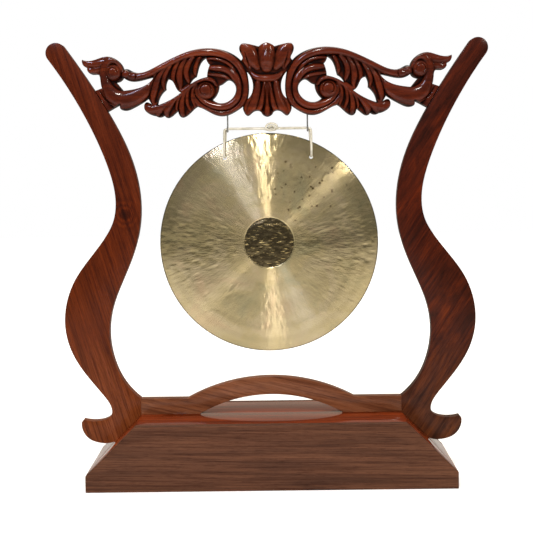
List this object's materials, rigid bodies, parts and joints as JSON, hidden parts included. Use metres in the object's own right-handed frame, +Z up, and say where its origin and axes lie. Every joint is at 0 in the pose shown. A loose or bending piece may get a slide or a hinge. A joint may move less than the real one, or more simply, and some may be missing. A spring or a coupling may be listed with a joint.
{
  "type": "tam tam gong on stand",
  "caption": "Flat bronze gong hung by a knotted cord from two hooks under a carved scrollwork crest, between S-curved posts on a sloped plinth.",
  "frame": {"origin": "on the table under the middle of the plinth", "axes": "+X right, +Y to the back, +Z up; the gong's face looks along -Y"},
  "size_m": [0.61, 0.19, 0.61],
  "materials": {
    "frame_rosewood": "glossy lacquer",
    "polished_rosewood": "high gloss lacquer",
    "plinth_rosewood": "satin lacquer",
    "carved_rosewood": "glossy lacquer",
    "plain_softwood": "bare",
    "gong_bronze": "turned and hammered",
    "plain_steel": "dull",
    "white_cord": "braided"
  },
  "bodies": {
    "stand": {"base_front_board": "plinth_rosewood", "base_back_board": "plinth_rosewood", "base_top_board": "polished_rosewood", "base_slope_left": "polished_rosewood", "base_slope_right": "polished_rosewood", "base_end_left": "polished_rosewood", "base_end_right": "polished_rosewood", "glue_blocks": "plain_softwood", "post_left": "frame_rosewood", "post_right": "frame_rosewood", "stretcher": "frame_rosewood", "carved_crest": "carved_rosewood", "crest_dowels": "plain_softwood", "stretcher_dowels": "plain_softwood", "post_screws": "plain_steel", "stretcher_screws": "plain_steel", "hook_left": "plain_steel", "hook_right": "plain_steel"},
    "gong": {"gong_disc": "gong_bronze", "hanging_cord": "white_cord", "cord_knot": "white_cord"}
  },
  "joints": [
    {"name": "gong_swing", "type": "hinge", "parent": "stand", "child": "gong", "pos_m": [0, 0, 0.4895], "axis": [1, 0, 0], "range_deg": [-35, 35]}
  ]
}
